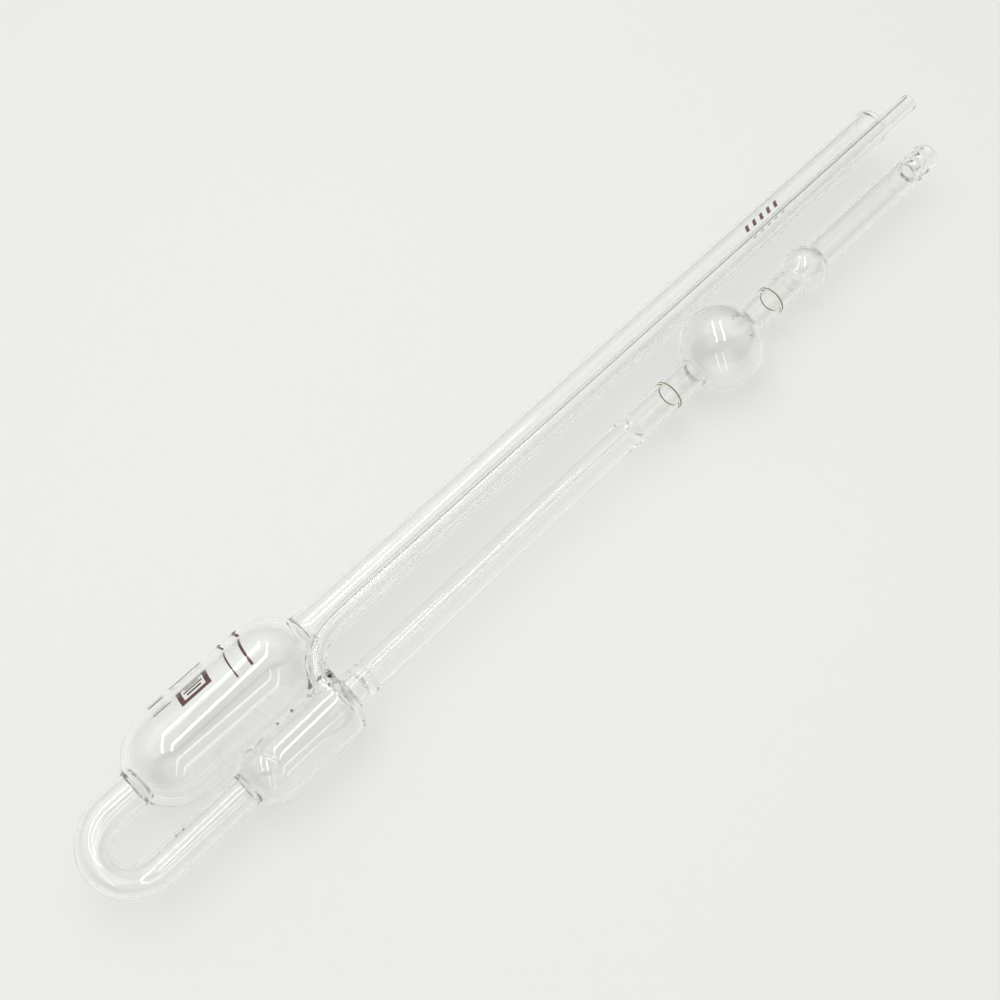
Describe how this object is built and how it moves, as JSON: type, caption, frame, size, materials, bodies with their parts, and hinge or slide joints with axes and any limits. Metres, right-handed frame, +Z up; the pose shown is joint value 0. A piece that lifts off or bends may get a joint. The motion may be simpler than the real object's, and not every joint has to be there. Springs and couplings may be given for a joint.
{
  "type": "capillary viscometer",
  "caption": "Glass suspended-level capillary viscometer: filling tube and reservoir, U bend, level vessel with vent, fine capillary, timing bulb and hose nozzle.",
  "frame": {"origin": "centre of the bounding box in X and Y, on the table that the instrument lies on", "axes": "+X along the tubes from the U bend to the open mouths, +Y across the table towards the filling tube, +Z up"},
  "size_m": [0.2916, 0.0414, 0.0228],
  "materials": {
    "clear_glass": "fire-polished clear borosilicate glass",
    "red_enamel": "fired dark red enamel, slightly glossy",
    "brown_stain": "fired golden brown stain"
  },
  "bodies": {
    "root": {"connecting_u_tube": "clear_glass", "reservoir_bulb": "clear_glass", "filling_tube": "clear_glass", "level_vessel_cap": "clear_glass", "level_vessel": "clear_glass", "vent_tube": "clear_glass", "capillary_tube": "clear_glass", "lower_timing_tube": "clear_glass", "timing_bulb": "clear_glass", "upper_timing_tube": "clear_glass", "pre_run_bulb": "clear_glass", "suction_tube": "clear_glass", "hose_nozzle": "clear_glass", "lower_timing_mark": "brown_stain", "upper_timing_mark": "brown_stain", "lower_fill_mark": "red_enamel", "upper_fill_mark": "red_enamel", "panel_frame": "red_enamel", "panel_bar_1": "red_enamel", "panel_bar_2": "red_enamel", "panel_bar_3": "red_enamel", "data_line_1": "red_enamel", "data_line_2": "red_enamel", "serial_bar_1": "red_enamel", "serial_bar_2": "red_enamel", "serial_bar_3": "red_enamel", "serial_bar_4": "red_enamel", "serial_bar_5": "red_enamel"}
  },
  "joints": []
}
